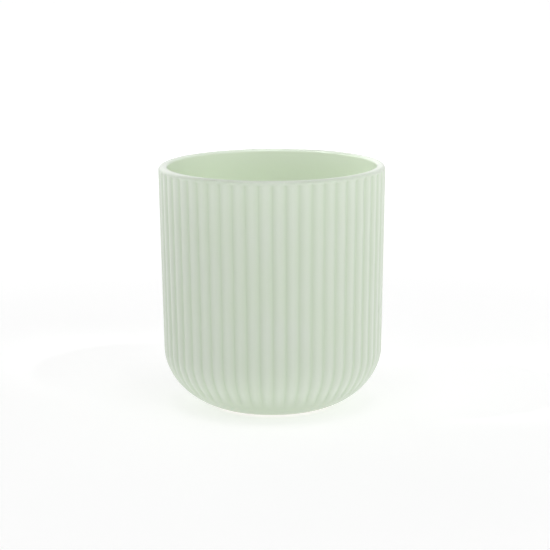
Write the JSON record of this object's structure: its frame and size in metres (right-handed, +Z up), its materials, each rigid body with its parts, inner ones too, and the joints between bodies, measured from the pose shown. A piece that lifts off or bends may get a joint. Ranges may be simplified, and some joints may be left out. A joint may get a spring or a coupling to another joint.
{
  "type": "brush holder pot",
  "caption": "Round fluted ceramic pot with a rounded base, an open mouth for standing brushes and pens, and stick-on foot pads.",
  "frame": {"origin": "on the pot's axis, at the level of the foot pads' undersides, where the pot meets the table", "axes": "+Z up along the pot's axis, out of the mouth; -Y is the front, where a groove faces the viewer; +X points to the front's right and passes through a rib's crest"},
  "size_m": [0.1, 0.0998, 0.1077],
  "materials": {
    "glazed_body": "satin-matt pale mint green glaze all over, thinner and lighter on the rim, with a bare ring under the foot",
    "foot_pads": "soft clear-frosted silicone"
  },
  "bodies": {
    "root": {"pot_body": "glazed_body", "foot_pad_1": "foot_pads", "foot_pad_2": "foot_pads", "foot_pad_3": "foot_pads", "foot_pad_4": "foot_pads"}
  },
  "joints": []
}
